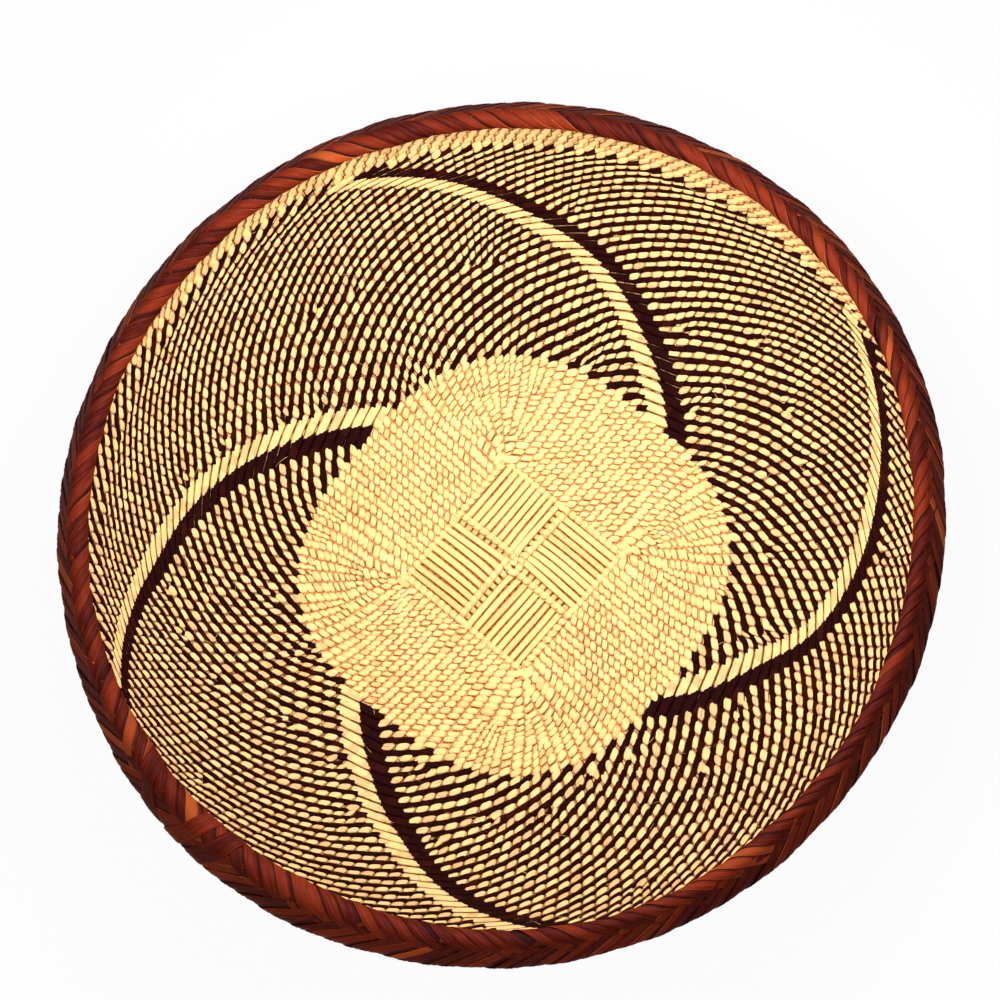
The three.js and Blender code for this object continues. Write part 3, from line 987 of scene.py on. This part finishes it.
def through_splints():
    """The runs of the splints that cross the middle, from one side's rim to the opposite side's."""
    runs = []
    for way in (0, 1):
        for place in range(SIDE_SPLINTS):
            near = SIDE_SPLINTS * way + place
            far = SIDE_SPLINTS * (way + 3) - 1 - place
            ends = [upward_part(number) for number in (near, far)]
            (after, after_normals), (before, before_normals) = reversed(ends) if way else ends
            middle = crossing_part(way, -side_places()[place])
            rise = np.broadcast_to(UPRIGHT, middle.shape)
            points = np.concatenate([before[::-1], middle, after])
            normals = np.concatenate([before_normals[::-1], rise, after_normals])
            # How far the splint lies under the others, which widens it and paints shade on its top.
            covered = np.clip(-(middle[:, 2] - MIDDLE_HEIGHT) / CROSSING_LEVEL, 0, 1)
            under = np.pad(covered, (len(before), len(after)))
            runs.append(splint(points, normals, SPLINT_HALF_WIDTH, near, under))
    return runs


palm_splint = palm("palm_splint", shown(240, 202, 124), PALM_DEEP, PALM_WARM, 0.55, 0.15, 0.3)
placed(tubes("through_splints", through_splints(), False), palm_splint, "palm_splint", *STAKE_NODES)
added_numbers = range(4 * SIDE_SPLINTS, PLANTED[-1][1].max() + 1)
added_splints = [splint(*upward_part(number), ADDED_HALF_WIDTH, number) for number in added_numbers]
placed(tubes("added_splints", added_splints, False), palm_splint, "palm_splint", *CORNER_NODES)


# The two hoops of split wood that clamp the wall's top inside the rim, where the plait hides them.
# The rim's section is two round ends joined by flats, with its upper face tilted outwards.
RIM_MIDDLE = np.array([182.6, 69.2])
RIM_DOWN = np.array([0.566, -0.824])
RIM_OUT = np.array([0.824, 0.566])
HOOP_HALF_SPREAD = 5.2
HOOP_RADIUS = 2.2
HOOP_STEPS = 240
HOOP_SIDES = 12
RIM_STAGES = [
    (0, 0.1, 0.3), (30, 0.4, -0.3), (45, 0.8, 0.2), (67, 2.2, -0.2), (90, 0.8, 0.6),
    (105, -0.9, 2.4), (125, -1.1, 2.8), (138, -1.5, 2.3), (152, -1.9, 1.0), (180, -1.0, 0.9),
    (240, -1.1, 0.9), (262, -2.1, 0.9), (285, -0.9, 0.5), (315, 0.8, 0.3), (338, 1.4, 0.0),
]
STAGE_SMOOTHING = 8


def rim_stage(turn):
    """How far the rim lies out from its true circle, and how much thicker it is, smoothed between the stages.

    It is thickest where the plait's end is worked over its start."""
    degrees = np.degrees(turn) % 360
    offsets = np.linspace(-STAGE_SMOOTHING, STAGE_SMOOTHING, 5)
    places, out, thicker = np.array(RIM_STAGES).T
    return [
        sum(np.interp(degrees + offset, places, column, period=360) for offset in offsets) / len(offsets)
        for column in (out, thicker)
    ]


def hoop(way):
    """One hoop as a run for tubes: the outer one for 1 and the inner one for -1."""
    turn = 2 * math.pi * np.arange(HOOP_STEPS) / HOOP_STEPS
    radius, height = RIM_MIDDLE + way * HOOP_HALF_SPREAD * RIM_DOWN
    radius = radius + rim_stage(turn)[0][:, None]
    outward = round_point(1, turn, 0 * turn)
    rise = np.broadcast_to(UPRIGHT, outward.shape)
    size = np.full(HOOP_STEPS, HOOP_RADIUS)
    points, across, up = swept(outward * radius + rise * height, outward, rise, size, size, HOOP_SIDES)
    return ring_run(points, turn * RIM_MIDDLE[0], across, up, 0.5, 0.0)


def hoop_finish():
    """Raw split wood: brown, with streaks along the hoop."""
    material, tree, shader = finish_of("hoop_wood", 0.7)
    streak = fibres_along(tree, 0.1, 1.5)
    blended(tree, streak, shown(120, 70, 40), shown(170, 110, 66)).into(shader, "Base Color")
    return material


hoop_wood = hoop_finish()
for which, way in (("inner", -1), ("outer", 1)):
    placed(tubes(f"{which}_hoop_split", [hoop(way)]), hoop_wood, "hoop_wood", f"{which}_hoop")


# The rim's plait. Strips of dark bark lie over both hoops in a herringbone: each leg starts under
# the leg before it, on the far side of the spine, and runs clockwise to the rim's edge and round
# it to the underside. A core closes the inside, painted nearly black in the painted shadow colour, as shade
# in the gaps.
CORE_RADIUS = 2.5
ARC_MEASURE = 3.3
CORE_RINGS = 480
CORE_SIDES = 40
SPINE_PLACE = -3.3
SPINE_SWAY = 0.9
SPINE_SWAY_TURN = math.radians(20)
UNDERSIDE_REACH = 20.4
LEG_COUNT = 142
LEG_SLANT = math.radians(32)
LEG_START = 3.2
LEG_STEPS = 28
LEG_SIDES = 14
LEG_HALF_WIDTH = 3.3
LEG_HALF_THICKNESS = 0.28
LEG_TILT = 0.115
LEG_LIFT = 0.28
SPLICE_STRIPS = [(125.0, 1, 55), (129.5, 1, 58), (137.5, -1, 52)]
SPLICE_HALF_WIDTH = 3.9
SPLICE_START = 15.0
SPLICE_LIFT = 1.05
RIM_UNEVENNESS = 0.16
RIM_WAVES = [(37, 1.3), (23, 0), (11, 4)]
LEG_PLACE_VARIATION = 0.07
LEG_SLANT_VARIATION = 0.02
LEG_WIDTH_VARIATION = 0.05
LEG_END_TAPER = 0.4
LEG_END_LENGTH = 6.0
LEG_EDGE_THINNESS = 0.25
LEG_LIFT_VARIATION = 0.06
LEG_TUCK = 0.45
LEG_TUCK_LENGTH = 11.0
BARK_DARK = shown(66, 14, 7)
BARK_RED = shown(132, 43, 18)
BARK_ORANGE = shown(184, 84, 34)
BARK_EDGE = shown(200, 106, 40)
PAINTED_BARK_SHADOW = shown(34, 8, 5)


def on_rim(across, turn, lift):
    """Points at a lift above the rim's core.

    Across is measured round the section from the top's middle line, outwards over the outer hoop or,
    when negative, inwards over the inner one. Past the flat top it is an arc, then the flat underside."""
    out_by, thicker = rim_stage(turn)
    lift = lift + thicker
    size = np.abs(across)
    bend = np.clip((size - HOOP_HALF_SPREAD) / ARC_MEASURE, 0, math.pi)
    back = np.maximum(size - HOOP_HALF_SPREAD - ARC_MEASURE * math.pi, 0)
    lift = lift + RIM_UNEVENNESS * sum(np.sin(count * turn + start) for count, start in RIM_WAVES)
    down = np.sign(across) * (np.minimum(size, HOOP_HALF_SPREAD) - back + (CORE_RADIUS + lift) * np.sin(bend))
    out = (CORE_RADIUS + lift) * np.cos(bend)
    radius = RIM_MIDDLE[0] + out_by + RIM_DOWN[0] * down + RIM_OUT[0] * out
    height = RIM_MIDDLE[1] + RIM_DOWN[1] * down + RIM_OUT[1] * out
    return round_point(radius, turn, height)


def rim_core():
    """A closed tube round both hoops."""
    whole = 2 * (2 * HOOP_HALF_SPREAD + ARC_MEASURE * math.pi)
    turn = 2 * math.pi * np.arange(CORE_RINGS)[:, None] / CORE_RINGS
    across = whole * ((np.arange(CORE_SIDES) + 0.5) / CORE_SIDES - 0.5)
    across, turn = np.broadcast_arrays(-across, turn)
    along = turn[:, 0] * RIM_MIDDLE[0]
    # A neck of 0.2 paints the core nearly black with the painted shadow colour, as shade between the strips.
    return ring_run(on_rim(across, turn, 0.0), along, across, np.zeros_like(across), 0.5, 0.2)


def leg(start_turn, way, slant, half_width, seed, start=LEG_START, raised=0.0):
    """One strip, as a run for tubes. Way is 1 for a leg that runs outwards and -1 for inwards.

    The start is how far it begins on the other side of the spine, which sways a little round the rim."""
    spine = SPINE_PLACE + SPINE_SWAY * math.cos(start_turn - SPINE_SWAY_TURN)
    whole = (UNDERSIDE_REACH - way * spine + start) / math.sin(slant)
    along = np.linspace(0, whole, LEG_STEPS)
    across, upward = section(LEG_SIDES)
    taper = 1 - LEG_END_TAPER * eased(along, whole - LEG_END_LENGTH, whole)
    wide = half_width * taper[:, None] * across
    thick = LEG_HALF_THICKNESS * upward * (1 - LEG_EDGE_THINNESS * np.abs(across) ** 4)
    run = along[:, None] * math.cos(slant) + wide * math.sin(slant) * way
    reach = spine + way * (along[:, None] * math.sin(slant) - start) - wide * math.cos(slant)
    tilt = LEG_TILT if raised == 0 else 0
    base = LEG_LIFT + raised + tilt * (half_width + wide * way) + LEG_LIFT_VARIATION * np.sin(seed * 2.4)
    low = LEG_TUCK * (1 - eased(along, 0, LEG_TUCK_LENGTH))[:, None]
    points = on_rim(reach, start_turn + run / RIM_MIDDLE[0], base - low + thick)
    # Neck runs across a strip from 0 at its lower edge to 1 at its upper one; the bark finish paints shadow
    # on the lower half and the tan edge at the upper. Raised splice strips get no painted shadow.
    neck = (1 + way * wide / half_width) / 2 if raised == 0 else 0.57 + 0.4 * np.abs(wide / half_width)
    return ring_run(points, along, wide + 13.1 * seed, thick, dice.random(), neck)


def legs(way):
    """All the strips of one half of the herringbone."""
    runs = []
    for number in range(LEG_COUNT):
        place = number + (0.5 if way < 0 else 0) + dice.normal(0, LEG_PLACE_VARIATION)
        turn = 2 * math.pi * place / LEG_COUNT
        slant = LEG_SLANT + dice.normal(0, LEG_SLANT_VARIATION)
        half_width = LEG_HALF_WIDTH * (1 + dice.normal(0, LEG_WIDTH_VARIATION))
        runs.append(leg(turn, way, slant, half_width, number + 200 * way))
    for number, (turn, side, slant) in enumerate(SPLICE_STRIPS):
        if side == way:
            turn, slant = math.radians(turn), math.radians(slant)
            runs.append(leg(turn, way, slant, SPLICE_HALF_WIDTH, 400 + number, SPLICE_START, SPLICE_LIFT))
    return runs


def bark():
    """Dark red brown bark with fine lengthwise grain, toned strip by strip, some with a tan edge, and painted
    shadow in black on the lower half of each strip, beside the strip that overlaps it.
    """
    material, tree, shader = finish_of("bark_strip", 0.6)
    shader.inputs["Specular IOR Level"].default_value = 0.05
    tone, edge = kept_value(tree, "tone"), kept_value(tree, "neck")
    streak = fibres_along(tree, 0.12, 2.2)
    share = streak.between(0.42, 0.75) * 0.55 + tone.between(0.3, 0.9) * 0.6
    colour = blended(tree, share, BARK_DARK, BARK_RED)
    colour = blended(tree, tone.between(0.955, 0.99) * 0.6, colour, BARK_ORANGE)
    # Painted shadow: black over the lower half of each strip, where it lies beside and under its neighbour.
    colour = blended(tree, edge.between(0.52, 0.34) * 0.85, colour, PAINTED_BARK_SHADOW)
    colour = blended(tree, edge.between(0.95, 0.99) * tone.between(0.68, 0.9) * 0.7, colour, BARK_EDGE)
    grained(tree, shader, colour, streak, 0.4, 0.0003)
    return material


bark_strip = bark()
placed(tubes("rim_core", [rim_core()]), bark_strip, "bark_strip", "rim_plait")
for which, way in (("outer", 1), ("inner", -1)):
    placed(tubes(f"rim_legs_{which}", legs(way), False), bark_strip, "bark_strip", "rim_plait")
